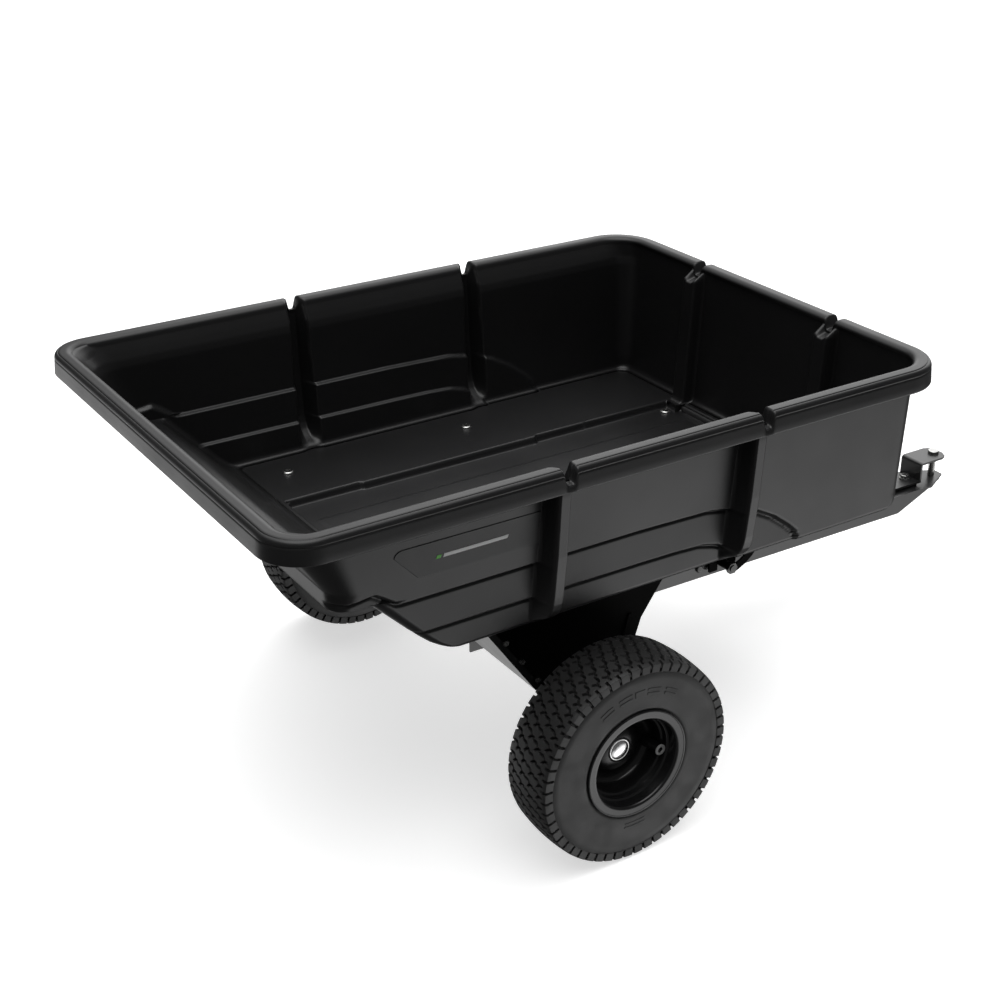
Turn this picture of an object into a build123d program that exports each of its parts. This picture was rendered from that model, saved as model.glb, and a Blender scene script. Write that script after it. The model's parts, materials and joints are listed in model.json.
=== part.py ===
from build123d import *
import os
from math import cos, radians, sin

# Tow-behind dump cart. Millimetres, +X forward (towards the hitch), +Y to the cart's left, +Z up.
# Each piece is drawn from the point on the ground under the middle of the axle. CART then places it, so that
# the origin is the hitch point: on the hitch pin's axis, halfway up the gap where the towing plate goes.

# ---- driving sizes ----
TYRE_R = 165.0
TREAD_HALF = 47.0
TREAD_EDGE_R = 160.4
SIDEWALL_HALF = 46.6
WHEEL_Y = 409.7
AXLE_Z = TYRE_R
AXLE_R = 9.5
RUNNING = 0.05  # radial clearance of a running fit

PIN_X = 1064.0
HITCH_Z = 196.0
CART = Pos(-PIN_X, 0, -HITCH_Z)

# tub
WALL = 4.0
RIM_REAR, RIM_FRONT, RIM_HALF = -521.2, 617.2, 414.0
RIM_TOP, SKIRT_BOTTOM = 638.9, 604.7
RIM_R_REAR, RIM_R_FRONT = 65.8, 83.8
TUB_BOTTOM = 380.0
TUB_HALF_TOP, TUB_HALF_BOTTOM = 372.0, 362.0
TUB_FRONT_TOP, TUB_FRONT_BOTTOM = 595.0, 590.0
FRONT_CORNER_R = 38.0
STEP_Z = (486.0, 428.0)
STEP_HALF = (359.0, 351.0)
RIB_X = (-97.0, 243.0)
RIB_HALF_X = 13.0
RIB_HALF_Y = (404.0, 390.0)
FRONT_RIB_Y = 168.0
FRONT_RIB_HALF = 18.0
NOTCH_HALF = 11.5
NOTCH_Z = 617.0
WELL_HALF, WELL_DEPTH = 185.0, 13.0
WELL_REAR, WELL_FRONT = -232.0, 556.0

# undercarriage
SHEET = 3.5
LEG_Y = 318.0
LEG_EYE_R = 28.0
FLOOR_BOLT_X = (-177.0, 171.0)
FLOOR_BOLT_Y = 279.0
SUPPORT_BOLT = (527.0, 166.0)
M5, M8, M10, M12 = 2.5, 4.0, 5.0, 6.0
M5_ACROSS, M5_HEAD, M5_NUT = 8.0, 3.5, 4.7
HOLE_PLAY = 0.3

# tongue and hitch
TONGUE_HALF = 40.0
TONGUE_REAR, TONGUE_NOSE = -22.0, 1084.0
TONGUE_SHOULDER = 1026.0
NOSE_HALF = 10.0
CROSS_X, CROSS_Z = 497.5, 166.0
SIDE_BOLT_X, SIDE_BOLT_Z = 452.0, 163.0
PLATE = 4.0
HITCH_HALF = 26.0
FOOT_Z = 180.0
JAW_Z = 216.0
HITCH_BOLT_X = (955.0, 991.0)
PIN_R = 6.35
PIN_PLAY = 0.4
PIN_BOTTOM = 146.0
CLIP_R = 1.5
CLIP_Z = 157.0

# latch, drawn released
LATCH_X, LATCH_Z = CROSS_X, 228.0
LATCH_OPEN = 26.0
SUPPORT_Y = (44.0, 48.0)
HOOK_Y = (54.0, 58.0)
HOOK_IN, HOOK_OUT = 72.5, 87.0
SPACER_R = 8.0


def tongue_top(x):
    """Height of the tongue's top face: the tongue drops slightly towards the hitch."""
    return 183.6 - 0.0085 * (x + 22.0)


def tongue_low(x):
    """Height of the bottom edge of the tongue's side walls."""
    return 147.0 - 0.0091 * (x + 22.0)


# ---- helpers ----
def profile(points, y0, y1):
    """A closed XZ outline, extruded from y0 to y1."""
    face = make_face(Polyline([(x, 0, z) for x, z in points], close=True))
    return Pos(0, y0, 0) * extrude(face, amount=y1 - y0, dir=(0, 1, 0))


def block(x0, x1, y0, y1, z0, z1):
    """A box given by its two corners."""
    return Pos((x0 + x1) / 2, (y0 + y1) / 2, (z0 + z1) / 2) * Box(x1 - x0, y1 - y0, z1 - z0)


def rod_y(x, z, r, y0, y1):
    """A round bar along Y."""
    return Pos(x, (y0 + y1) / 2, z) * Rot(90, 0, 0) * Cylinder(r, abs(y1 - y0))


def rod_z(x, y, r, z0, z1):
    """A round bar along Z."""
    return Pos(x, y, (z0 + z1) / 2) * Cylinder(r, z1 - z0)


def hex_y(x, z, across, y0, y1):
    """A hexagon bar along Y, given by its width across the flats."""
    face = Pos(x, y0, z) * Rot(-90, 0, 0) * RegularPolygon(across / 2, 6, major_radius=False)
    return extrude(face, amount=y1 - y0, dir=(0, 1, 0))


def hex_z(x, y, across, z0, z1):
    """A hexagon bar along Z, given by its width across the flats."""
    return extrude(Pos(x, y, z0) * RegularPolygon(across / 2, 6, major_radius=False), amount=z1 - z0)


def both(shape):
    """The shape and its mirror image on the cart's other side."""
    return [shape, mirror(shape, Plane.XZ)]


def outline(z, x0, x1, half, r_rear, r_front):
    """A rectangle at height z with rounded corners, one radius behind and one in front."""
    face = Pos((x0 + x1) / 2, 0, z) * Rectangle(x1 - x0, 2 * half)
    corners = face.vertices().group_by(Axis.X)
    face = fillet(corners[0], r_rear)
    return fillet(face.vertices().group_by(Axis.X)[-1], r_front)


# ---- tub ----
def wall_half(z):
    """Half the tub's outer width at height z, where no step or rib is."""
    draft = (TUB_HALF_TOP - TUB_HALF_BOTTOM) / (SKIRT_BOTTOM - TUB_BOTTOM)
    return TUB_HALF_BOTTOM + draft * (z - TUB_BOTTOM)


def tub_body(inset, top):
    """The tub's solid form up to a height, set in by a distance: drafted walls, sloped rear, stepped sides."""
    slope = inset * 0.41
    side = profile(
        [
            (-247.0 + slope, TUB_BOTTOM + inset),
            (560.0 - inset, TUB_BOTTOM + inset),
            (581.0 - inset, TUB_BOTTOM + 8.0 + inset),
            (TUB_FRONT_BOTTOM - inset, TUB_BOTTOM + 26.0 + inset),
            (TUB_FRONT_TOP - inset, top),
            (-497.0 + inset, top),
            (-497.0 + inset, 612.0 + slope),
            (-425.0 + inset, 520.0 + slope),
            (-425.0 + inset, 490.0 + inset),
            (-355.0 + slope, 490.0 + inset),
        ],
        -RIM_HALF,
        RIM_HALF,
    )
    low, high = 370.0, 720.0
    corners = [(low, 1), (high, 1), (high, -1), (low, -1)]
    section = make_face(Polyline([(0, way * (wall_half(z) - inset), z) for z, way in corners], close=True))
    body = side & (Pos(-540.0, 0, 0) * extrude(section, amount=1200.0, dir=(1, 0, 0)))
    upright = [e for e in body.edges() if e.center().X > 580.0 and e.length > 100.0 and abs(e.center().Y) > 300.0]
    return fillet(upright, FRONT_CORNER_R - inset) - side_steps(inset)


def side_steps(inset):
    """What the stepped lower side panels take off the tub, on both sides."""
    upper, lower = STEP_Z
    arc = [(278.0, 458.0), (315.0, 438.0), (347.0, 414.0), (363.0, 395.0)]
    first = [(-470.0, 300.0), (-470.0, upper + inset), (262.0, upper + inset)]
    first += [(x + inset, z) for x, z in arc] + [(363.0 + inset, 300.0)]
    second = [(-470.0, 300.0), (-470.0, lower + inset), (190.0, lower + inset), (238.0, 403.0), (238.0, 300.0)]
    cuts = []
    for points, half in ((first, STEP_HALF[0]), (second, STEP_HALF[1])):
        cuts += both(profile(points, half - inset, RIM_HALF))
    return cuts


def side_rib(x, inset, depth):
    """An upright rib that stands out of the side wall, or the channel inside it."""
    top, low = RIB_HALF_Y[0] - inset, RIB_HALF_Y[1] - inset
    half = RIB_HALF_X - inset
    points = [(depth, 388.0 + inset), (352.0, 388.0 + inset), (low - 6.0, 410.0), (low, 436.0), (top, 600.0)]
    points += [(top, RIM_TOP), (depth, RIM_TOP)]
    face = make_face(Polyline([(0, y, z) for y, z in points], close=True))
    return Pos(x - half, 0, 0) * extrude(face, amount=2 * half, dir=(1, 0, 0))


def tub():
    rim = extrude(outline(SKIRT_BOTTOM, RIM_REAR, RIM_FRONT, RIM_HALF, RIM_R_REAR, RIM_R_FRONT), RIM_TOP - SKIRT_BOTTOM)
    rim = fillet(rim.edges().group_by(Axis.Z)[-1], 8.0)
    hollow = outline(
        SKIRT_BOTTOM - 1,
        RIM_REAR + WALL,
        RIM_FRONT - WALL,
        RIM_HALF - WALL,
        RIM_R_REAR - WALL,
        RIM_R_FRONT - WALL,
    )
    solid = rim - extrude(hollow, RIM_TOP - SKIRT_BOTTOM + 1 - WALL)
    solid += tub_body(0.0, RIM_TOP)
    well = block(WELL_REAR - WALL, WELL_FRONT + WALL, -WELL_HALF - WALL, WELL_HALF + WALL, TUB_BOTTOM - WELL_DEPTH, 386.0)
    solid += well
    for x in RIB_X:
        for part in both(side_rib(x, 0.0, 345.0)):
            solid += part
        for part in both(block(x - 16.0, x + 16.0, 372.0, RIM_HALF - WALL, SKIRT_BOTTOM, RIM_TOP - WALL)):
            solid += part
    for y in (-FRONT_RIB_Y, FRONT_RIB_Y):
        solid += block(590.0, RIM_FRONT - WALL, y - 16.0, y + 16.0, SKIRT_BOTTOM, RIM_TOP - WALL)

    cavity = tub_body(WALL, 700.0)
    for y in (-FRONT_RIB_Y, FRONT_RIB_Y):
        rib = [(540.0, 300.0), (555.0, 384.0), (568.0, 612.0), (588.0, 620.0), (640.0, 620.0), (640.0, 300.0)]
        cavity -= profile(rib, y - FRONT_RIB_HALF, y + FRONT_RIB_HALF)
    solid -= cavity
    solid -= block(WELL_REAR, WELL_FRONT, -WELL_HALF, WELL_HALF, TUB_BOTTOM - WELL_DEPTH + WALL, 392.0)
    solid -= extrude(outline(628.0, -490.0, 584.0, 381.0, 45.0, 55.0), 30.0)
    for x in RIB_X:
        for part in both(side_rib(x, WALL, 330.0)):
            solid -= part
        for part in both(rod_y(x, NOTCH_Z + NOTCH_HALF, NOTCH_HALF, 360.0, RIM_HALF + 6)):
            solid -= part
        for part in both(block(x - NOTCH_HALF, x + NOTCH_HALF, 360.0, RIM_HALF + 6, NOTCH_Z + NOTCH_HALF, 650.0)):
            solid -= part
    for y in (-FRONT_RIB_Y, FRONT_RIB_Y):
        groove = [(565.0, 370.0), (573.0, 606.0), (600.0, 606.0), (600.0, 370.0)]
        solid -= profile(groove, y - FRONT_RIB_HALF + WALL, y + FRONT_RIB_HALF - WALL)
        axis = Pos(605.0, y, NOTCH_Z + NOTCH_HALF) * Rot(0, 90, 0)
        solid -= axis * Cylinder(NOTCH_HALF, 40.0)
        solid -= block(585.0, 625.0, y - NOTCH_HALF, y + NOTCH_HALF, NOTCH_Z + NOTCH_HALF, 650.0)
    for x in FLOOR_BOLT_X:
        for part in both(rod_z(x, FLOOR_BOLT_Y, M8 + HOLE_PLAY, 370.0, 390.0)):
            solid -= part
    for part in both(rod_z(SUPPORT_BOLT[0], SUPPORT_BOLT[1], M8 + HOLE_PLAY, 360.0, 375.0)):
        solid -= part
    return solid


def badge():
    """The left side's badge plate: a thin plate with one cut corner, flush on the upper panel."""
    points = [(-341.0, 559.0), (-331.0, 568.0), (-117.0, 566.0), (-119.0, 520.0), (-305.0, 520.0)]
    slab = profile(points, 360.0, 380.0)
    low, high = wall_half(500.0), wall_half(590.0)
    skin = make_face(Polyline([(0, low, 500), (0, high, 590), (0, high + 1.0, 590), (0, low + 1.0, 500)], close=True))
    return slab & (Pos(-400, 0, 0) * extrude(skin, amount=400, dir=(1, 0, 0)))


# ---- undercarriage ----
def axle_leg():
    """The left leg: a plate from the tub's floor down to the axle, with a top flange and a bearing sleeve."""
    web = profile(
        [
            (-195.0, TUB_BOTTOM),
            (190.0, TUB_BOTTOM),
            (190.0, 374.0),
            (152.0, 374.0),
            (106.0, 308.0),
            (96.0, 278.0),
            (LEG_EYE_R, AXLE_Z),
            (-14.0, AXLE_Z),
            (-161.0, 374.0),
            (-195.0, 374.0),
        ],
        LEG_Y - SHEET,
        LEG_Y,
    )
    leg = web + rod_y(0, AXLE_Z, LEG_EYE_R, LEG_Y - SHEET, LEG_Y)
    leg += block(-195.0, 190.0, FLOOR_BOLT_Y - 22.0, LEG_Y, TUB_BOTTOM - SHEET, TUB_BOTTOM)
    leg += rod_y(0, AXLE_Z, 16.0, LEG_Y - 22.0, LEG_Y + 24.0)
    bead = Pos(79.0, LEG_Y + 0.5, 304.0) * Rot(0, 16, 0)
    leg += bead * Box(5.0, 3.0, 36.0)
    leg -= rod_y(0, AXLE_Z, AXLE_R + RUNNING, LEG_Y - 40.0, LEG_Y + 40.0)
    for x in FLOOR_BOLT_X:
        leg -= rod_z(x, FLOOR_BOLT_Y, M8 + HOLE_PLAY, 370.0, 390.0)
    for x, z in web_bolt_places():
        leg -= rod_y(x, z, M5 + HOLE_PLAY, LEG_Y - 10.0, LEG_Y + 10.0)
    return leg


WEB_FOOT = (-82.0, 243.0)
WEB_LEAN = 0.70  # how far the web runs back for each millimetre it rises


def web_bolt_places():
    """Where the rear web is bolted to a leg, along the leg's rear edge."""
    return [(-96.0 - WEB_LEAN * dz + 24.0, 250.0 + dz) for dz in (12.0, 52.0, 92.0)]


def rear_web():
    """The sloped plate that ties the two legs together behind the axle, with a bolting flange at each end."""
    x0, z0 = WEB_FOOT
    top = TUB_BOTTOM - WELL_DEPTH - 2.0
    x1 = x0 - WEB_LEAN * (top - z0)
    half = LEG_Y - SHEET
    web = profile([(x0, z0), (x0 + SHEET * 1.22, z0), (x1 + SHEET * 1.22, top), (x1, top)], -half, half)
    for part in both(profile([(x0, z0), (x0 + 40.0, z0), (x1 + 40.0, top), (x1, top)], half - SHEET, half)):
        web += part
    web += block(x0, x0 + 18.0, -half + 40.0, half - 40.0, z0, z0 + SHEET)
    for x, z in web_bolt_places():
        for part in both(rod_y(x, z, M5 + HOLE_PLAY, half - 12.0, half + 12.0)):
            web -= part
    return web


def web_bolts():
    """Six bolts through the legs' rear edges, heads outside."""
    shapes = []
    for x, z in web_bolt_places():
        bolt = rod_y(x, z, M5, LEG_Y - 14.0, LEG_Y) + hex_y(x, z, M5_ACROSS, LEG_Y, LEG_Y + M5_HEAD)
        shapes += both(bolt)
    return shapes


def web_nuts():
    shapes = []
    inner = LEG_Y - 2 * SHEET
    for x, z in web_bolt_places():
        shapes += both(hex_y(x, z, M5_ACROSS, inner - M5_NUT, inner) - rod_y(x, z, M5, inner - 8, inner + 1))
    return shapes


def floor_bolts():
    """Carriage bolts through the tub's floor: four into the legs and two into the front support."""
    shapes = []
    places = [(x, FLOOR_BOLT_Y, TUB_BOTTOM) for x in FLOOR_BOLT_X]
    places.append((SUPPORT_BOLT[0], SUPPORT_BOLT[1], TUB_BOTTOM - WELL_DEPTH))
    for x, y, under in places:
        head = rod_z(x, y, 9.5, under + WALL, under + WALL + 3.6)
        head = fillet(head.edges().group_by(Axis.Z)[-1], 3.2)
        shapes += both(head + rod_z(x, y, M8, under - 16.0, under + WALL))
    return shapes


def floor_nuts():
    shapes = []
    places = [(x, FLOOR_BOLT_Y, TUB_BOTTOM) for x in FLOOR_BOLT_X]
    places.append((SUPPORT_BOLT[0], SUPPORT_BOLT[1], TUB_BOTTOM - WELL_DEPTH))
    for x, y, under in places:
        top = under - SHEET
        nut = hex_z(x, y, 13.0, top - 8.4, top - 1.6) + rod_z(x, y, 9.0, top - 1.6, top)
        shapes += both(nut - rod_z(x, y, M8, top - 9.0, top + 1.0))
    return shapes


def front_support():
    """The bed's front stand: a cross plate under the floor and two cheeks that straddle the tongue."""
    under = TUB_BOTTOM - WELL_DEPTH
    body = block(498.0, 556.0, -182.0, 182.0, under - SHEET, under)
    y0, y1 = SUPPORT_Y
    cheek = profile([(462.0, under - SHEET), (556.0, under - SHEET), (528.0, 152.0), (470.0, 152.0)], y0, y1)
    slot_r = SPACER_R + 1.5
    cheek -= rod_y(CROSS_X, CROSS_Z, slot_r, y0 - 1, y1 + 1)
    cheek -= block(CROSS_X - slot_r, CROSS_X + slot_r, y0 - 1, y1 + 1, 140.0, CROSS_Z)
    cheek -= rod_y(LATCH_X, LATCH_Z, M10, y0 - 1, y1 + 1)
    for part in both(cheek):
        body += part
    body += block(462.0, 556.0, -y1, y1, under - SHEET, under)
    body += block(466.0, 470.0, -y0, y0, 200.0, under - SHEET)
    body += block(466.0, 526.0, -y0, y0, 192.0, 196.0)
    body += both(block(500.0, 554.0, 176.0, 182.0, under - 22.0, under - SHEET))
    for part in both(rod_z(SUPPORT_BOLT[0], SUPPORT_BOLT[1], M8 + HOLE_PLAY, 350.0, 370.0)):
        body -= part
    return body


# ---- tongue ----
def tongue():
    """A pressed channel, open below: flat top with a tapered nose, and two side walls cut off at a slant in front."""
    a, b, c = TONGUE_REAR, TONGUE_SHOULDER, TONGUE_NOSE
    corner = b - 85.0
    side = [(a, tongue_low(a)), (corner, tongue_low(corner)), (b, tongue_top(b)), (a, tongue_top(a))]
    body = profile(side, -TONGUE_HALF, TONGUE_HALF)
    inner = [(a - 1, 100.0), (c, 100.0), (c, tongue_top(c) - SHEET), (a - 1, tongue_top(a - 1) - SHEET)]
    body -= profile(inner, -TONGUE_HALF + SHEET, TONGUE_HALF - SHEET)
    slab = [(b - 90.0, tongue_top(b - 90.0) - SHEET), (c, tongue_top(c) - SHEET), (c, tongue_top(c))]
    slab.append((b - 90.0, tongue_top(b - 90.0)))
    nose = profile(slab, -TONGUE_HALF, TONGUE_HALF)
    plan = [(b - 90.0, -TONGUE_HALF), (b, -TONGUE_HALF), (c, -NOSE_HALF), (c, NOSE_HALF)]
    plan += [(b, TONGUE_HALF), (b - 90.0, TONGUE_HALF)]
    nose &= extrude(make_face(Polyline([(x, y, 100.0) for x, y in plan], close=True)), amount=200.0)
    body += nose
    body -= rod_y(0, AXLE_Z, AXLE_R, -60, 60)
    body -= rod_y(CROSS_X, CROSS_Z, M12, -60, 60)
    body -= rod_y(SIDE_BOLT_X, SIDE_BOLT_Z, M8, -60, 60)
    body -= rod_z(PIN_X, 0, PIN_R + PIN_PLAY, 150, 200)
    for x in HITCH_BOLT_X:
        body -= rod_z(x, 0, M10, 150, 200)
    return body


def tongue_brace():
    """A short doubler inside the tongue, where the cross bolt loads its walls."""
    x0, x1 = 425.0, 545.0
    outer, inner = TONGUE_HALF - SHEET, TONGUE_HALF - 2 * SHEET
    top = [(x, tongue_top(x) - SHEET) for x in (x0, x1)]
    body = profile([(x0, 146.0), (x1, 146.0), top[1], top[0]], -outer, outer)
    body -= profile([(x0 - 1, 140.0), (x1 + 1, 140.0), (x1 + 1, 172.0), (x0 - 1, 172.0)], -inner, inner)
    body -= rod_y(CROSS_X, CROSS_Z, M12, -60, 60)
    return body - rod_y(SIDE_BOLT_X, SIDE_BOLT_Z, M8, -60, 60)


def rest_pad():
    """The rubber pad on the tongue that the bed's front stand comes down on."""
    x0, x1 = 474.0, 522.0
    return profile([(x0, tongue_top(x0)), (x1, tongue_top(x1)), (x1, 191.8), (x0, 191.8)], -30.0, 30.0)


def cross_bolt():
    """The long bolt through the tongue: the latch's hooks close under its two ends."""
    return rod_y(CROSS_X, CROSS_Z, M12, -80.0, 70.0) + hex_y(CROSS_X, CROSS_Z, 19.0, 70.0, 77.5)


def cross_bolt_nut():
    return hex_y(CROSS_X, CROSS_Z, 19.0, -80.0 + 2.0, -70.0) - rod_y(CROSS_X, CROSS_Z, M12, -85.0, -60.0)


def cross_bolt_spacers():
    sleeve = rod_y(CROSS_X, CROSS_Z, SPACER_R, TONGUE_HALF, 70.0) - rod_y(CROSS_X, CROSS_Z, M12, 30.0, 80.0)
    return both(sleeve)


def tongue_bolts():
    """Two short screws that hold the doubler in the tongue."""
    inner = TONGUE_HALF - 2 * SHEET
    screw = rod_y(SIDE_BOLT_X, SIDE_BOLT_Z, M8, inner - 10.0, TONGUE_HALF)
    screw += fillet(rod_y(SIDE_BOLT_X, SIDE_BOLT_Z, 7.5, TONGUE_HALF, TONGUE_HALF + 4.0).edges().group_by(Axis.Y)[-1], 3.0)
    return both(screw)


def tongue_nuts():
    inner = TONGUE_HALF - 2 * SHEET
    nut = hex_y(SIDE_BOLT_X, SIDE_BOLT_Z, 13.0, inner - 6.8, inner)
    return both(nut - rod_y(SIDE_BOLT_X, SIDE_BOLT_Z, M8, inner - 8.0, inner + 1.0))


# ---- latch ----
def latch_point(radius, degrees):
    """A point of the released latch, by its distance from the pivot and its angle forward of straight down."""
    a = radians(degrees + LATCH_OPEN)
    return (LATCH_X + radius * sin(a), LATCH_Z - radius * cos(a))


def latch_hooks():
    """The two hook plates: each has a bored hub, a hook below it and an arm up to the tie bar."""
    y0, y1 = HOOK_Y
    arc = [latch_point(HOOK_IN, a) for a in (-14, -6, 2, 12)]
    back = [latch_point(HOOK_OUT, a) for a in (30, 18, 6, -6, -14)]
    hook = [latch_point(14.0, 5)] + [latch_point(62.0, 13)] + arc[::-1] + back[::-1] + [latch_point(14.0, 60)]
    arm = [latch_point(r, a) for r, a in ((14.0, 40), (90.0, 80), (90.0, 90), (14.0, 140))]
    plate = profile(hook, y0, y1) + profile(arm, y0, y1) + rod_y(LATCH_X, LATCH_Z, 16.0, y0, y1)
    tie_x, tie_z = latch_point(82.0, LEVER_ANGLE)
    return both(plate - rod_y(LATCH_X, LATCH_Z, 7.0 + RUNNING, y0 - 1, y1 + 1) - rod_y(tie_x, tie_z, 6.0, y0 - 1, y1 + 1))


def latch_lever():
    """The round tie bar welded between the hook plates, and the flat lever that turns them."""
    tie_x, tie_z = latch_point(82.0, LEVER_ANGLE)
    return rod_y(tie_x, tie_z, 6.0, -HOOK_Y[1], HOOK_Y[1]) + LEVER_PLACE * lever_bar()


LEVER_ANGLE = 84.0
LEVER_PLACE = Pos(LATCH_X, 0, LATCH_Z) * Rot(0, 90.0 - LEVER_ANGLE - LATCH_OPEN, 0)


def lever_bar():
    """The lever's flat bar, lying along +X from the pivot."""
    return block(80.0, 205.0, -4.0, 4.0, -7.5, 7.5)


def latch_grip():
    """The moulded grip on the lever's end."""
    body = fillet((Pos(196.0, 0, 0) * Rot(0, 90, 0) * Cylinder(15.0, 96.0)).edges(), 6.0)
    return LEVER_PLACE * (body - lever_bar())


def latch_bushes():
    """Two sleeves on the pivot bolt that the hook plates turn on."""
    sleeve = rod_y(LATCH_X, LATCH_Z, 7.0, SUPPORT_Y[1], HOOK_Y[1] + 0.5)
    sleeve += rod_y(LATCH_X, LATCH_Z, 10.0, SUPPORT_Y[1], HOOK_Y[0] - 0.5)
    return both(sleeve - rod_y(LATCH_X, LATCH_Z, M10, 40.0, 80.0))


def latch_bolt():
    end = HOOK_Y[1] + 0.5
    return rod_y(LATCH_X, LATCH_Z, M10, -end - 11.0, end) + hex_y(LATCH_X, LATCH_Z, 17.0, end, end + 6.4)


def latch_nut():
    end = HOOK_Y[1] + 0.5
    return hex_y(LATCH_X, LATCH_Z, 17.0, -end - 9.0, -end) - rod_y(LATCH_X, LATCH_Z, M10, -end - 12.0, -end + 1.0)


# ---- hitch ----
def hitch_bracket():
    """A Z-bent strap: foot bolted to the tongue, riser, and the upper jaw with a rounded nose."""
    foot_top, jaw_top = FOOT_Z + PLATE, JAW_Z + PLATE
    strap = [(936.0, FOOT_Z), (1010.0, FOOT_Z), (1010.0, JAW_Z), (1079.0, JAW_Z), (1079.0, jaw_top)]
    strap += [(1006.0, jaw_top), (1006.0, foot_top), (936.0, foot_top)]
    body = profile(strap, -HITCH_HALF, HITCH_HALF)
    plan = [(936.0, -16.0), (944.0, -HITCH_HALF), (1063.0, -HITCH_HALF), (1073.0, -21.0), (1079.0, -9.0)]
    plan += [(x, -y) for x, y in reversed(plan)]
    body &= extrude(make_face(Polyline([(x, y, 150.0) for x, y in plan], close=True)), amount=100.0)
    upright = body.edges().filter_by(Axis.Y)
    body = fillet([e for e in upright if abs(e.center().X - 1006.0) < 0.1 and e.center().Z > 218.0], 6.0)
    body -= rod_z(PIN_X, 0, PIN_R + PIN_PLAY, 200, 240)
    for x in HITCH_BOLT_X:
        body -= rod_z(x, 0, M10, 170, 190)
    return body


def hitch_spacer():
    """The wedge-shaped block between the sloping tongue and the level foot."""
    x0, x1 = 940.0, 1003.0
    body = profile([(x0, tongue_top(x0)), (x1, tongue_top(x1)), (x1, FOOT_Z), (x0, FOOT_Z)], -22.0, 22.0)
    for x in HITCH_BOLT_X:
        body -= rod_z(x, 0, M10, 170, 190)
    return body


def hitch_bolts():
    top = FOOT_Z + PLATE
    shapes = []
    for x in HITCH_BOLT_X:
        head = fillet(hex_z(x, 0, 16.0, top + 2.0, top + 8.4).edges().group_by(Axis.Z)[-1], 1.0)
        shapes.append(rod_z(x, 0, 10.0, top, top + 2.0) + head + rod_z(x, 0, M10, 158.0, top))
    return shapes


def hitch_nuts():
    shapes = []
    for x in HITCH_BOLT_X:
        top = tongue_top(x + 9.0) - SHEET
        shapes.append(hex_z(x, 0, 16.0, top - 8.0, top) - rod_z(x, 0, M10, 150.0, 180.0))
    return shapes


def hitch_pin():
    top = JAW_Z + PLATE
    head = rod_z(PIN_X, 0, 10.5, top, top + 5.5)
    head = fillet(head.edges().group_by(Axis.Z)[-1], 1.5)
    shaft = rod_z(PIN_X, 0, PIN_R, PIN_BOTTOM, top)
    shaft = chamfer(shaft.edges().group_by(Axis.Z)[0], 1.5)
    cross = Pos(PIN_X, 0, CLIP_Z) * Rot(0, 90, 0) * Cylinder(CLIP_R + 0.3, 40.0)
    return head + shaft - cross


def hitch_clip():
    """A spring clip: one straight leg through the pin, and one leg that bows round the pin's outside."""
    straight = Line((0, -20, 0), (0, 21, 0))
    bend = TangentArc((0, 21, 0), (-13, 21, 0), tangent=(0, 1, 0))
    back = Spline((-13, 21, 0), (-9, 9, 0), (-11.5, 0, 0), (-9, -9, 0), (-14, -18, 0), tangents=[(0, -1, 0), (-0.6, -1, 0)])
    section = Plane(origin=(0, -20, 0), z_dir=(0, 1, 0)) * Circle(CLIP_R)
    return Pos(PIN_X, 0, CLIP_Z) * Rot(0, 0, -90) * sweep(section, path=Wire([straight, bend, back]))


# ---- axle and wheels ----
def axle():
    bar = rod_y(0, AXLE_Z, AXLE_R, -(WHEEL_Y + 2.0), WHEEL_Y + 2.0)
    return chamfer(bar.edges().filter_by(GeomType.CIRCLE), 1.0)


HUB_IN, HUB_OUT = WHEEL_Y - 56.0, WHEEL_Y - 5.0  # ends of the wheel's hub tube
BUSH_R = 12.6
CAP_R = 18.5
HUB_R = 16.0
RIM_FLANGE_R, RIM_BARREL_R, BOWL_R = 86.8, 72.5, 70.0
RIM_HALF_W = 48.6


def turned(points):
    """A ring or disc turned about the left wheel's axle, from (distance out from the wheel's middle, radius)."""
    face = make_face(Polyline([(0, s, r) for s, r in points], close=True))
    ring = revolve(face, axis=Axis.Y, revolution_arc=360)
    return Pos(0, WHEEL_Y, AXLE_Z) * ring


def tyre():
    half, edge = TREAD_HALF, TREAD_EDGE_R
    outside = [(-44.4, 73.0), (-44.4, 88.0), (-SIDEWALL_HALF, 91.0), (-SIDEWALL_HALF, 147.0), (-half, edge)]
    outside += [(-26.0, 163.6), (0.0, TYRE_R), (26.0, 163.6), (half, edge), (SIDEWALL_HALF, 147.0)]
    outside += [(SIDEWALL_HALF, 91.0), (44.4, 88.0), (44.4, 73.0)]
    inside = [(33.0, 73.0), (33.0, 86.0), (39.0, 100.0), (39.0, 138.0), (32.0, 151.0)]
    inside += [(-s, r) for s, r in reversed(inside)]
    return turned(outside + inside)


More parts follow.
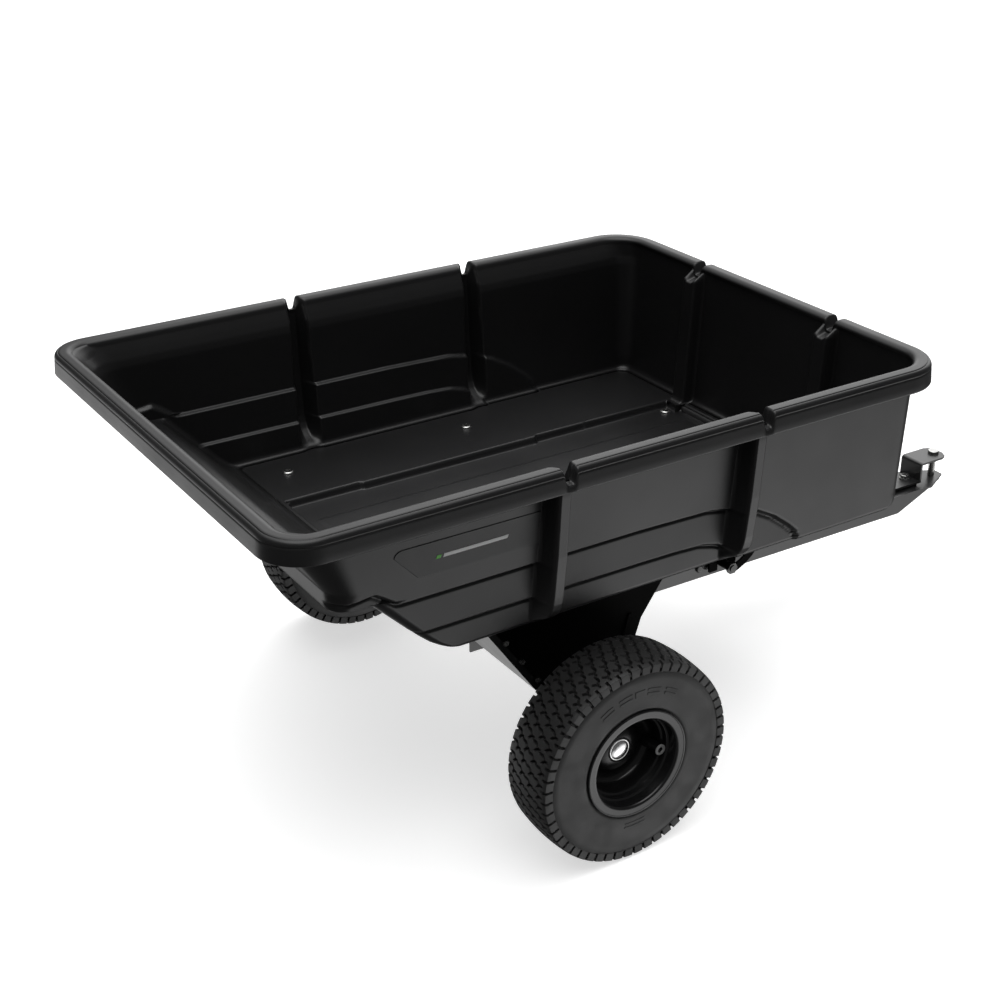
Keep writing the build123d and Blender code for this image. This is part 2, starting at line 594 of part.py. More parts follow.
def rim():
    """Pressed wheel: barrel with two flanges, a deep stepped bowl, and a hub tube."""
    w, f = RIM_HALF_W, RIM_FLANGE_R
    barrel = [(-w, BOWL_R), (-w, f), (-w + 3.8, f), (-w + 3.8, RIM_BARREL_R), (w - 3.8, RIM_BARREL_R)]
    barrel += [(w - 3.8, f), (w, f), (w, BOWL_R)]
    disc = [(22.0, 70.5), (18.0, 66.5), (8.0, 66.0), (-8.0, 62.5), (-9.0, 42.0), (-4.0, 36.0), (0.5, 26.0)]
    disc += [(2.0, CAP_R + 1.0), (-5.5, CAP_R + 1.0), (-5.5, HUB_R - 0.5), (-8.5, HUB_R - 0.5), (-8.5, 22.5)]
    disc += [(-3.0, 27.0), (-7.0, 34.5), (-12.0, 42.0), (-11.0, 64.5), (6.0, 68.6), (17.0, 70.5)]
    body = turned(barrel) + turned(disc)
    body += rod_y(0, AXLE_Z, HUB_R, HUB_IN, HUB_OUT)
    return body - rod_y(0, AXLE_Z, BUSH_R, HUB_IN - 5, HUB_OUT + 5) - valve_hole()


VALVE_ANGLE = 12.0
VALVE_R = 52.5
VALVE_LEAN = 12.0


def valve_place():
    """Where the left wheel's valve stem leaves the disc."""
    a = radians(VALVE_ANGLE)
    return VALVE_R * cos(a), AXLE_Z - VALVE_R * sin(a)


def valve_hole():
    x, z = valve_place()
    return rod_y(x, z, 5.0, WHEEL_Y - 30.0, WHEEL_Y + 30.0) & block(x - 8, x + 8, 0, 500, z - 8, z + 8)


def valve_stem():
    """A rubber snap-in stem that leans outwards, with its cap."""
    x, z = valve_place()
    y = WHEEL_Y - 6.0
    base = rod_y(x, z, 4.95, y - 9.0, y - 2.0) + rod_y(x, z, 6.6, y - 2.0, y + 3.0)
    stem = Cone(5.8, 4.2, 20.0, align=(Align.CENTER, Align.CENTER, Align.MIN))
    stem += Pos(0, 0, 19.0) * Cylinder(4.6, 15.0, align=(Align.CENTER, Align.CENTER, Align.MIN))
    lean = Pos(x, y, z) * Rot(0, VALVE_ANGLE, 0) * Rot(0, 0, -VALVE_LEAN) * Rot(-90, 0, 0)
    return base + lean * stem


def wheel_bushes():
    """Two flanged bushes in the hub tube that run on the axle."""
    shapes = []
    for end, way in ((HUB_IN, 1), (HUB_OUT, -1)):
        bush = rod_y(0, AXLE_Z, BUSH_R, *sorted((end, end + way * 20.0)))
        bush += rod_y(0, AXLE_Z, 17.5, *sorted((end - way * 2.0, end)))
        shapes.append(bush - rod_y(0, AXLE_Z, AXLE_R + RUNNING, 300, 460))
    return shapes


def hub_cap():
    """The push-on cap that retains the wheel on the axle's end."""
    y0 = HUB_OUT + 3.5
    cap = rod_y(0, AXLE_Z, CAP_R, y0, y0 + 8.0)
    cap = fillet(cap.edges().filter_by(GeomType.CIRCLE).group_by(Axis.Y)[-1], 5.0)
    return cap - rod_y(0, AXLE_Z, AXLE_R, y0 - 1, WHEEL_Y + 2.0)


def axle_washer():
    """The washer between a leg's sleeve and the wheel's inner bush."""
    y0 = LEG_Y + 24.0
    return rod_y(0, AXLE_Z, 16.0, y0 + 0.5, HUB_IN - 2.5) - rod_y(0, AXLE_Z, AXLE_R, 300, 400)


# ---- all nodes ----
def nodes():
    """Every node's name and its solids."""
    table = {
        "tub": [tub()],
        "rear_web": [rear_web()],
        "web_bolts": web_bolts(),
        "web_nuts": web_nuts(),
        "floor_bolts": floor_bolts(),
        "floor_nuts": floor_nuts(),
        "front_support": [front_support()],
        "tongue": [tongue()],
        "tongue_brace": [tongue_brace()],
        "tongue_bolts": tongue_bolts(),
        "tongue_nuts": tongue_nuts(),
        "rest_pad": [rest_pad()],
        "cross_bolt": [cross_bolt()],
        "cross_bolt_nut": [cross_bolt_nut()],
        "cross_bolt_spacers": cross_bolt_spacers(),
        "latch_hooks": latch_hooks(),
        "latch_lever": [latch_lever()],
        "latch_grip": [latch_grip()],
        "latch_bushes": latch_bushes(),
        "latch_bolt": [latch_bolt()],
        "latch_nut": [latch_nut()],
        "hitch_bracket": [hitch_bracket()],
        "hitch_spacer": [hitch_spacer()],
        "hitch_bolts": hitch_bolts(),
        "hitch_nuts": hitch_nuts(),
        "hitch_pin": [hitch_pin()],
        "hitch_clip": [hitch_clip()],
        "axle": [axle()],
    }
    pairs = {
        "badge": [badge()],
        "axle_leg": [axle_leg()],
        "axle_washer": [axle_washer()],
        "tyre": [tyre()],
        "rim": [rim()],
        "valve_stem": [valve_stem()],
        "wheel_bushes": wheel_bushes(),
        "hub_cap": [hub_cap()],
    }
    for name, shapes in pairs.items():
        table[name + "_left"] = shapes
        table[name + "_right"] = [mirror(s, Plane.XZ) for s in shapes]
    return table


def main():
    os.makedirs("parts", exist_ok=True)
    for name, shapes in nodes().items():
        solids = [s for shape in shapes for s in (CART * shape).solids()]
        part = solids[0] if len(solids) == 1 else Compound(children=solids)
        part.label = name
        export_step(part, f"parts/{name}.step")


main()
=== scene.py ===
import bpy
import json
import math
import numpy as np
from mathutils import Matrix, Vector


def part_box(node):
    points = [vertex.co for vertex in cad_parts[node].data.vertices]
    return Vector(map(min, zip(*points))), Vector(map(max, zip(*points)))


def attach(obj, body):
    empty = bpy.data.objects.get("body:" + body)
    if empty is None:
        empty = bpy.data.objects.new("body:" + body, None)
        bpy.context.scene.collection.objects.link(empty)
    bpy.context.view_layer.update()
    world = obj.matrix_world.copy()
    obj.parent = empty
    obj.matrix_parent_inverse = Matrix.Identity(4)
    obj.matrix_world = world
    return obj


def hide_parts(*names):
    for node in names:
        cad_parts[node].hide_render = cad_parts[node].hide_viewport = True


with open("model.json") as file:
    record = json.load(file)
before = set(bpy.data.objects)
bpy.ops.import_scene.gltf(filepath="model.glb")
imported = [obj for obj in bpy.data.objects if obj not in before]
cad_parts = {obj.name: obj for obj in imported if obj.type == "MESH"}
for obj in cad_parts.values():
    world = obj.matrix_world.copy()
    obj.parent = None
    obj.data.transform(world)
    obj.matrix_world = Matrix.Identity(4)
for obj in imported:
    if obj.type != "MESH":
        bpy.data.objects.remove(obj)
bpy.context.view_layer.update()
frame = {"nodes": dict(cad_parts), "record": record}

# Sizes below are millimetres from the point on the ground under the middle of the axle,
# +X forward, +Y left. The axle's own box gives where that point lies in the row frame.
AXLE_Z = 165.0
low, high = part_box("axle")
SHIFT = np.array([(low.x + high.x) / 2, (low.y + high.y) / 2, (low.z + high.z) / 2 - AXLE_Z / 1000.0])


def row(points):
    """Millimetres from the ground under the axle, as metres in the row frame."""
    return np.asarray(points, dtype=float) / 1000.0 + SHIFT


def ease(t):
    """0 to 1 with a smooth start and end."""
    t = np.clip(t, 0.0, 1.0)
    return t * t * (3.0 - 2.0 * t)


# ---------------------------------------------------------------- materials
class Nodes:
    """A short way to build one material's nodes."""

    def __init__(self, name):
        self.material = bpy.data.materials.new(name)
        self.material.use_nodes = True
        self.tree = self.material.node_tree
        self.shader = self.tree.nodes["Principled BSDF"]
        self.coords = self.add("ShaderNodeTexCoord").outputs["Object"]

    def add(self, kind, **values):
        node = self.tree.nodes.new(kind)
        for key, value in values.items():
            setattr(node, key, value)
        return node

    def link(self, a, b):
        self.tree.links.new(a, b)

    def noise(self, scale, detail=3.0, rough=0.5, stretch=None):
        """Noise in object space, stretched by a scale for each axis if one is given."""
        node = self.add("ShaderNodeTexNoise")
        node.inputs["Scale"].default_value = scale
        node.inputs["Detail"].default_value = detail
        node.inputs["Roughness"].default_value = rough
        source = self.coords
        if stretch:
            mapping = self.add("ShaderNodeMapping")
            mapping.inputs["Scale"].default_value = stretch
            self.link(source, mapping.inputs["Vector"])
            source = mapping.outputs["Vector"]
        self.link(source, node.inputs["Vector"])
        return node.outputs["Fac"]

    def spread(self, value, a, b, lo=0.3, hi=0.7):
        """The value stretched from lo..hi to a..b."""
        node = self.add("ShaderNodeMapRange")
        node.inputs["From Min"].default_value = lo
        node.inputs["From Max"].default_value = hi
        node.inputs["To Min"].default_value = a
        node.inputs["To Max"].default_value = b
        self.link(value, node.inputs["Value"])
        return node.outputs["Result"]

    def tint(self, value, dark, light):
        """A colour from dark to light as the value goes from 0 to 1."""
        node = self.add("ShaderNodeMix", data_type="RGBA")
        node.inputs[6].default_value = (*dark, 1.0)
        node.inputs[7].default_value = (*light, 1.0)
        self.link(value, node.inputs[0])
        return node.outputs[2]

    def tint_over(self, colour, amount, mark):
        """The colour with marks of another colour laid over it."""
        mix = self.add("ShaderNodeMix", data_type="RGBA")
        self.link(amount, mix.inputs[0])
        self.link(colour, mix.inputs[6])
        mix.inputs[7].default_value = (*mark, 1.0)
        return mix.outputs[2]

    def bump(self, value, strength, distance, under=None):
        node = self.add("ShaderNodeBump")
        node.inputs["Strength"].default_value = strength
        node.inputs["Distance"].default_value = distance
        self.link(value, node.inputs["Height"])
        if under:
            self.link(under, node.inputs["Normal"])
        return node.outputs["Normal"]

    def worn(self, colour, bare, amount):
        """The colour with pale rubbed convex edges."""
        geometry = self.add("ShaderNodeNewGeometry")
        edge = self.spread(geometry.outputs["Pointiness"], 0.0, amount, 0.52, 0.62)
        patch = self.spread(self.noise(60.0, 4.0), 0.0, 1.0, 0.42, 0.6)
        both = self.add("ShaderNodeMath", operation="MULTIPLY")
        self.link(edge, both.inputs[0])
        self.link(patch, both.inputs[1])
        return self.tint_over(colour, both.outputs[0], bare)

    def finish(self, colour, rough, normal=None, **sockets):
        self.link(colour, self.shader.inputs["Base Color"])
        self.link(rough, self.shader.inputs["Roughness"])
        if normal:
            self.link(normal, self.shader.inputs["Normal"])
        for key, value in sockets.items():
            self.shader.inputs[key.replace("_", " ")].default_value = value
        return self.material


def moulded(name, dark, light, rough, grain):
    """Moulded plastic: fine grain, faint flow marks, slightly uneven gloss, edges rubbed a little paler."""
    m = Nodes(name)
    flow = m.spread(m.noise(2.2, 4.0, 0.6), 0.0, 1.0)
    rubbed = [c * 2.4 + 0.01 for c in light]
    colour = m.worn(m.tint(flow, dark, light), rubbed, 0.25)
    gloss = m.spread(m.noise(7.0, 5.0, 0.62), rough - 0.035, rough + 0.035)
    normal = m.bump(m.noise(900.0, 2.0), grain, 0.0002)
    normal = m.bump(m.noise(5.0, 2.0), 0.03, 0.01, normal)
    return m.finish(colour, gloss, normal, Specular_IOR_Level=0.5)


def coated(name, dark, light, rough, specular=0.5, uneven=0.02):
    """Powder coat or sprayed paint: orange peel, slightly uneven gloss and a few fine scuffs."""
    m = Nodes(name)
    colour = m.tint(m.spread(m.noise(9.0, 4.0, 0.6), 0.0, 1.0), dark, light)
    scuffs = m.spread(m.noise(70.0, 3.0, 0.6, (0.25, 1.0, 1.0)), 0.0, 1.0, 0.72, 0.80)
    colour = m.tint_over(colour, scuffs, [c * 3.0 for c in light])
    gloss = m.spread(m.noise(12.0, 3.0, 0.5), rough - uneven, rough + uneven)
    normal = m.bump(m.noise(420.0, 2.0), 0.08, 0.0003)
    return m.finish(colour, gloss, normal, Specular_IOR_Level=specular)


def plated(name, dark, light, rough):
    """Bare or plated metal: fine lines and dull patches."""
    m = Nodes(name)
    lines = m.noise(260.0, 3.0, 0.6)
    patch = m.noise(45.0, 4.0, 0.6)
    colour = m.tint(m.spread(patch, 0.0, 1.0), dark, light)
    gloss = m.spread(lines, rough - 0.07, rough + 0.09)
    return m.finish(colour, gloss, m.bump(lines, 0.08, 0.0002), Metallic=1.0)


def rubbery(name, dark, light, rough, grain=0.25, specular=0.5):
    """Rubber: matt, faintly dusty in patches."""
    m = Nodes(name)
    dust = m.noise(16.0, 6.0, 0.65)
    colour = m.tint(m.spread(dust, 0.0, 1.0), dark, light)
    gloss = m.spread(m.noise(34.0, 4.0), rough - 0.05, rough + 0.05)
    normal = m.bump(m.noise(520.0, 3.0), grain, 0.0003)
    return m.finish(colour, gloss, normal, Specular_IOR_Level=specular)


LOOK = {
    "tub_plastic": moulded("tub_plastic", (0.0085, 0.0085, 0.0088), (0.0125, 0.0125, 0.013), 0.36, 0.16),
    "badge_plastic": moulded("badge_plastic", (0.017, 0.017, 0.0175), (0.021, 0.021, 0.0215), 0.42, 0.3),
    "black_steel": coated("black_steel", (0.007, 0.007, 0.0072), (0.009, 0.009, 0.0093), 0.32, 1.0),
    "dark_steel": plated("dark_steel", (0.05, 0.05, 0.05), (0.10, 0.10, 0.098), 0.38),
    "bright_zinc": plated("bright_zinc", (0.52, 0.52, 0.51), (0.72, 0.72, 0.70), 0.24),
    "spring_steel": plated("spring_steel", (0.40, 0.40, 0.40), (0.58, 0.58, 0.57), 0.25),
    "hub_chrome": plated("hub_chrome", (0.78, 0.78, 0.78), (0.9, 0.9, 0.9), 0.16),
    "rim_paint": coated("rim_paint", (0.010, 0.010, 0.0105), (0.016, 0.016, 0.0165), 0.25),
    "tyre_rubber": rubbery("tyre_rubber", (0.013, 0.013, 0.0132), (0.019, 0.019, 0.0188), 0.55, 0.25, 0.7),
    "grip_rubber": rubbery("grip_rubber", (0.008, 0.008, 0.008), (0.012, 0.012, 0.012), 0.7),
    "bearing_plastic": moulded("bearing_plastic", (0.02, 0.02, 0.02), (0.03, 0.03, 0.03), 0.5, 0.1),
}
# Painted shade: a near-black steel for the parts under the tub, standing in for the tub's shadow falling on
# them.
PAINTED_SHADE_STEEL = coated("painted_shade_steel", (0.0008, 0.0008, 0.0008), (0.0014, 0.0014, 0.0014), 0.6, 0.04)
UNDER_THE_TUB = ("axle_leg_left", "axle_leg_right", "front_support", "latch_hooks", "latch_lever")
DULL = plated("dull_zinc", (0.07, 0.07, 0.07), (0.13, 0.13, 0.128), 0.36)
DULL_FASTENERS = ("cross_bolt", "cross_bolt_nut", "latch_bolt", "latch_nut", "tongue_bolts", "tongue_nuts")
for part in frame["record"]["subparts"]:
    obj = frame["nodes"][part["node"]]
    obj.data.materials.clear()
    look = LOOK[part["material_slot"]]
    # The parts under the tub get the painted shade in place of their own finish.
    if part["node"] in UNDER_THE_TUB:
        look = PAINTED_SHADE_STEEL
    elif part["node"] in DULL_FASTENERS:
        look = DULL
    obj.data.materials.append(look)


# ---------------------------------------------------------------- mesh helpers
def piece(name, points, faces, slot, body, instead=(), look=None):
    """A smooth mesh object from millimetre points, in place, riding on its body."""
    mesh = bpy.data.meshes.new(name)
    mesh.from_pydata(row(points).tolist(), [], [tuple(int(i) for i in f) for f in faces])
    mesh.validate()
    mesh.polygons.foreach_set("use_smooth", [True] * len(mesh.polygons))
    mesh.materials.append(look or LOOK[slot])
    obj = bpy.data.objects.new(name, mesh)
    bpy.context.scene.collection.objects.link(obj)
    if instead:
        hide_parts(*instead)
    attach(obj, body)
    return obj


def grid_faces(rows, columns, start=0, closed=False, flip=False):
    """Quads over a grid of points stored row by row. A closed grid joins its last column to its first."""
    r = np.arange(rows - 1)[:, None]
    c = np.arange(columns if closed else columns - 1)[None, :]
    n = (c + 1) % columns
    a, b = r * columns + c, r * columns + n
    d, e = (r + 1) * columns + c, (r + 1) * columns + n
    quads = np.stack([a, b, e, d], axis=-1).reshape(-1, 4) + start
    return quads[:, ::-1] if flip else quads


def sharpen_edges(obj, degrees):
    """Breaks the smooth shading at edges sharper than this."""
    obj.data.set_sharp_from_angle(angle=math.radians(degrees))


# ---------------------------------------------------------------- tub
RIM_TOP, SKIRT_LOW = 638.9, 604.7
RIBS = (-97.0, 243.0)
NOTCHES = (-95.0, 246.0)
SIDE_NOTCH_FLOOR, FRONT_NOTCH_FLOOR = 617.0, 620.0
NOTCH_HALF, NOTCH_SLOPE, NOTCH_REACH = 5.0, 7.0, 30.0
SIDE_RIM_FROM, FRONT_RIM_FROM = 340.0, 560.0
FRONT_RIB = 168.0
WELL = 185.0
LEDGE_HALF = 2.2
WALL = 4.0


def rib_mask(d, face, base):
    """1 on a rib's face, falling to 0 at its foot, for a distance d from its middle."""
    return np.clip((base - np.abs(d)) / (base - face), 0.0, 1.0)


def notch(away, floor):
    """Height of the rim's top across a U notch, for a distance away from its middle."""
    return floor + (RIM_TOP - floor) * ease((away - NOTCH_HALF) / NOTCH_SLOPE)


def rim_height(x, y):
    """Height of the rim's top: full, less in the six U notches."""
    top = np.full_like(x, RIM_TOP)
    for centre in NOTCHES:
        away = np.abs(x - centre)
        in_notch = (np.abs(y) > SIDE_RIM_FROM) & (away < NOTCH_REACH)
        top = np.where(in_notch, np.minimum(top, notch(away, SIDE_NOTCH_FLOOR)), top)
    away = np.abs(np.abs(y) - FRONT_RIB)
    in_notch = (x > FRONT_RIM_FROM) & (away < NOTCH_REACH)
    return np.where(in_notch, np.minimum(top, notch(away, FRONT_NOTCH_FLOOR)), top)


# The heights of the side's two ledges along the tub.
UPPER_X = [-440, -414, -400, -385, -370, -356, -342, -334, -326]
UPPER_X += [60, 149, 186, 240, 278, 315, 347, 363, 372]
UPPER_Z = [511, 511, 508, 510, 512, 503, 493, 487.5, 486]
UPPER_Z += [485.5, 483, 482, 471.6, 458, 438, 414, 399.5, 370]
LOWER_X = [-440, 72, 140, 183, 212, 238, 262]
LOWER_Z = [428.5, 427, 426, 423.7, 416, 403, 370]


def panel_full(z):
    """Half the width of the upper side panel's outside."""
    return 361.0 + (z - 380.0) * 0.0562


def panel(x, z, lift):
    """Half the tub's outer width with its two steps, but no ribs. lift raises the steps, for the inside."""
    full = panel_full(z)
    middle = 358.0 + (z - 428.0) * 0.026
    lower = 350.0 + (z - 380.0) * 0.03
    first = ease((z - np.interp(x, UPPER_X, UPPER_Z) - lift + LEDGE_HALF) / (2.0 * LEDGE_HALF))
    second = ease((z - np.interp(x, LOWER_X, LOWER_Z) - lift + LEDGE_HALF) / (2.0 * LEDGE_HALF))
    return lower + (middle - lower) * second + (full - middle) * first


# How far out a rib's face stands, by height.
RIB_Z = [384, 387, 391, 396, 404, 414, 425, 436, 502, 595, 640]
RIB_Y = [346, 353, 362, 370, 379, 385.5, 389, 391, 398, 404, 405]


def ledge_groove(x, z):
    """Depth of the narrow grooves that run just under the side's two ledges."""
    under_first = (z - np.interp(x, UPPER_X, UPPER_Z) + 4.2) / 1.9
    under_second = (z - np.interp(x, LOWER_X, LOWER_Z) + 4.2) / 1.9
    return 2.4 * (np.exp(-under_first ** 2) + np.exp(-under_second ** 2))


def foot_rounding(z, start, radius):
    """How far a wall is drawn in where it rounds into the floor, below the height start."""
    below = np.clip(start - z, 0.0, radius)
    return radius - np.sqrt(np.maximum(radius ** 2 - below ** 2, 0.0))


def side_outer(x, z):
    """Half the outer width, with ledges, grooves, ribs and the flare under the rim."""
    y = panel(x, z, 0.0) - ledge_groove(x, z)
    y = y + np.interp(z, [604.0, 614.0, 624.0, 635.0], [0.0, 4.6, 8.6, 16.0])
    y = y - foot_rounding(z, 388.0, 8.0)
    for centre in RIBS:
        foot = np.interp(z, [380, 400, 500, 604], [22.5, 21.5, 18.0, 14.8])
        rib = np.interp(z, RIB_Z, RIB_Y)
        y = y + np.maximum(rib - y, 0.0) * rib_mask(x - centre, 8.2, foot)
    return y


def side_inner(x, z):
    """Half the inner width, with the ribs' channels and the rounding under the rim."""
    y = panel(x, z, 7.0) - WALL
    y = y + np.interp(z, [590.0, 602.0, 614.0, 628.0], [0.0, 1.8, 6.0, 11.8])
    y = y - foot_rounding(z, 394.0, 10.0)
    for centre in RIBS:
        foot = np.interp(z, [380, 400, 500, 604], [21.0, 20.5, 19.5, 17.0])
        rib = np.interp(z - 5.0, RIB_Z, RIB_Y) - WALL
        y = y + np.maximum(rib - y, 0.0) * rib_mask(x - centre, 7.0, foot)
    return y


def front_outer(y, z):
    """How far forward the front's outside is, with its two grooves."""
    x = np.interp(z, [380, 604, 635], [589.0, 594.5, 601.0])
    x = x - foot_rounding(z, 410.0, 30.0)
    groove = np.interp(z, [380, 396, 410, 606, 618], [0.0, 6.0, 22.0, 20.0, 0.0])
    return x - groove * rib_mask(np.abs(y) - FRONT_RIB, 9.0, 13.0)


def front_inner(y, z):
    """How far forward the front's inside is, with its two ribs standing in from it."""
    x = np.interp(z, [384, 600, 616, 628], [578.5, 589.0, 589.8, 590.0])
    face = 555.0 + (z - 386.0) * 0.0575
    cap = np.clip((628.0 - z) / 15.0, 0.0, 1.0)
    x = x - (x - face) * cap * rib_mask(np.abs(y) - FRONT_RIB, 14.5, 18.5)
    return x - foot_rounding(z, 396.0, 12.0)


# How far back the rear wall is, by height, outside and inside.
OUT_REAR_Z = [380.0, 381.5, 385.0, 391.0, 399.0, 412.0, 490.5]
OUT_REAR_Z += [491.6, 494.4, 495.6, 500.0, 522.0, 604.7, 635.0]
OUT_REAR_X = [-232.0, -240.0, -249.5, -261.0, -273.5, -288.5, -368.0]
OUT_REAR_X += [-373.0, -417.0, -424.0, -425.3, -426.5, -480.0, -499.0]
IN_REAR_Z = [384.0, 386.0, 391.0, 399.0, 412.0, 488.0, 493.0]
IN_REAR_Z += [495.6, 497.2, 501.0, 508.0, 524.0, 600.0, 628.0]
IN_REAR_X = [-238.0, -247.0, -257.5, -268.5, -283.0, -358.0, -364.5]
IN_REAR_X += [-372.0, -413.0, -419.5, -421.3, -424.0, -473.0, -489.0]


def with_detail(start, end, step, spots, fine):
    """Values from start to end, closer together around some spots given as (middle, half width)."""
    values = list(np.arange(start, end + 0.01, step)) + [end]
    for middle, half in spots:
        values = [v for v in values if not middle - half <= v <= middle + half]
        values += list(np.arange(middle - half, middle + half + 0.01, fine))
    values = sorted(set(np.round([v for v in values if start <= v <= end], 3)))
    return np.array([v for i, v in enumerate(values) if i == 0 or v - values[i - 1] > 0.3])


COLUMNS = with_detail(-225.0, 515.0, 4.5, [(c, 26.0) for c in RIBS], 1.7)
half_rows = with_detail(0.0, 210.0, 7.0, [(FRONT_RIB, 22.0), (118.0, 7.0)], 1.6)
ACROSS = np.concatenate([-half_rows[:0:-1], half_rows])
REAR_STEPS, FRONT_STEPS, SIDE_STEPS, ARC = 46, 9, 20, 9


def outline(z, skin):
    """One closed loop round the tub at a nominal height: side, front, side, rear. Returns x and y by side."""
    if skin == "out":
        side, nose = side_outer, front_outer
        rear = np.interp(z, OUT_REAR_Z, OUT_REAR_X)
        r_rear = np.interp(z, [380, 400, 490, 500, 604, 635], [14.0, 17.0, 22.0, 27.0, 64.0, 70.0])
        r_front = np.interp(z, [380, 410, 604, 635], [16.0, 31.0, 41.0, 62.0])
    else:
        side, nose = side_inner, front_inner
        rear = np.interp(z, IN_REAR_Z, IN_REAR_X)
        r_rear = np.interp(z, [384, 400, 490, 500, 604, 628], [12.0, 14.0, 19.0, 24.0, 58.0, 50.0])
        r_front = np.interp(z, [384, 410, 604, 628], [20.0, 28.0, 38.0, 56.0])
    front = nose(np.array([0.0]), np.array([z]))[0]

    def half(x):
        return side(x, np.full_like(x, z))

    def bulge(y):
        return nose(y, np.full_like(y, z)) - front

    return loop_points(rear, front, r_rear, r_front, half, bulge)


def no_bulge(y):
    return 0.0 * y


def loop_points(rear, front, r_rear, r_front, half, bulge):
    """The loop's points from its extents, corner radii, half width along the side, and the front's shape."""
    back = half(np.array([rear + r_rear]))[0]
    fore = half(np.array([front - r_front]))[0]
    x = np.concatenate([
        np.linspace(rear + r_rear, COLUMNS[0], REAR_STEPS + 1)[:-1],
        COLUMNS,
        np.linspace(COLUMNS[-1], front - r_front, FRONT_STEPS + 1)[1:],
    ])
    turn = np.radians(np.linspace(45.0, 90.0, ARC + 1))[:-1]
    x0 = rear + r_rear - r_rear * np.cos(turn)
    y0 = back - r_rear + r_rear * np.sin(turn)
    x1 = front - r_front + r_front * np.cos(turn[::-1])
    y1 = fore - r_front + r_front * np.sin(turn[::-1])
    side_x = np.concatenate([x0, x, x1])
    side_y = np.concatenate([y0, half(x), y1])

    def end(centre_x, r, way, edge, shape):
        turn_in = np.radians(np.linspace(45.0, 0.0, ARC + 1))[:-1]
        cx, cy = centre_x + way * r * np.cos(turn_in), edge - r + r * np.sin(turn_in)
        outer = np.linspace(edge - r, ACROSS[-1], SIDE_STEPS + 1)[:-1]
        y = np.concatenate([outer, ACROSS[::-1][: len(ACROSS) // 2]])
        ys = np.concatenate([y, [0.0], -y[::-1]])
        xs = centre_x + way * r + shape(ys)
        return np.concatenate([cx, xs, cx[::-1]]), np.concatenate([cy, ys, -cy[::-1]])

    front_x, front_y = end(front - r_front, r_front, 1.0, fore, bulge)
    rear_x, rear_y = end(rear + r_rear, r_rear, -1.0, back, no_bulge)
    return side_x, side_y, front_x, front_y, rear_x, rear_y


def join(loop):
    """The loop's sides as one ring of points, starting at the right side's rear corner."""
    sx, sy, fx, fy, rx, ry = loop
    x = np.concatenate([sx[:-1], fx[::-1][:-1], sx[::-1][:-1], rx[:-1]])
    y = np.concatenate([-sy[:-1], fy[::-1][:-1], sy[::-1][:-1], ry[:-1]])
    return x, y


RIM_REAR, RIM_FRONT, RIM_HALF = -521.2, 617.2, 414.0
RIM_REAR_RADIUS, RIM_FRONT_RADIUS = 65.8, 83.8


def rim_loop(inset, channel=0.0):
    """A loop set in from the rim's outer edge. Beside a rib's channel it stays further out."""

    def half(x):
        mask = np.zeros_like(x)
        for centre in RIBS:
            mask = np.maximum(mask, rib_mask(x - centre, 7.0, 18.0))
        return RIM_HALF - inset + channel * mask

    radii = RIM_REAR_RADIUS - inset, RIM_FRONT_RADIUS - inset
    return loop_points(RIM_REAR + inset, RIM_FRONT - inset, *radii, half, no_bulge)


def levels(start, end, step, spots):
    """Heights from start to end, closer together around some spots."""
    return with_detail(start, end, step, [(m, 4.5) for m in spots], 0.9)


# The well's underside: (height, half width, how far its ends are drawn in).
WELL_RINGS = ((367.0, 178.0, 6.0), (367.0, 184.0, 1.5), (368.5, 187.0, 0.0), (380.0, 189.0, 0.0))
WELL_BACK, WELL_FRONT = -233.0, 553.0
# The rim, as (inset, height): underside, skirt, bead, groove and flat top.
RIM_SECTION = [(12.0, 634.6), (5.4, 634.4), (4.4, 633.4), (4.0, 631.0), (3.8, 620.0), (3.6, 606.2)]
RIM_SECTION += [(3.0, 605.0), (2.0, 604.7), (0.8, 604.9), (0.1, 605.8), (0.0, 607.0), (0.8, 617.0)]
RIM_SECTION += [(1.6, 626.0), (1.8, 628.6), (2.5, 629.2), (2.55, 629.8), (1.9, 630.4), (2.0, 631.4)]
RIM_SECTION += [(2.4, 633.0), (3.1, 634.6), (4.3, 636.2), (5.9, 637.4), (7.2, 637.9), (7.8, 637.7)]
RIM_SECTION += [(8.2, 637.4), (8.6, 637.7), (9.0, 638.5), (9.8, 638.85), (12.0, 638.9), (15.0, 638.9)]
# The rounding from the rim into the tub: (inset, height, how much further out beside a rib's channel).
LIP_SECTION = [(18.5, 638.9, 6.0), (20.6, 638.9, 9.5), (23.6, 638.4, 11.5), (26.6, 637.0, 13.2)]
LIP_SECTION += [(29.2, 634.8, 15.0), (31.0, 631.8, 16.6)]


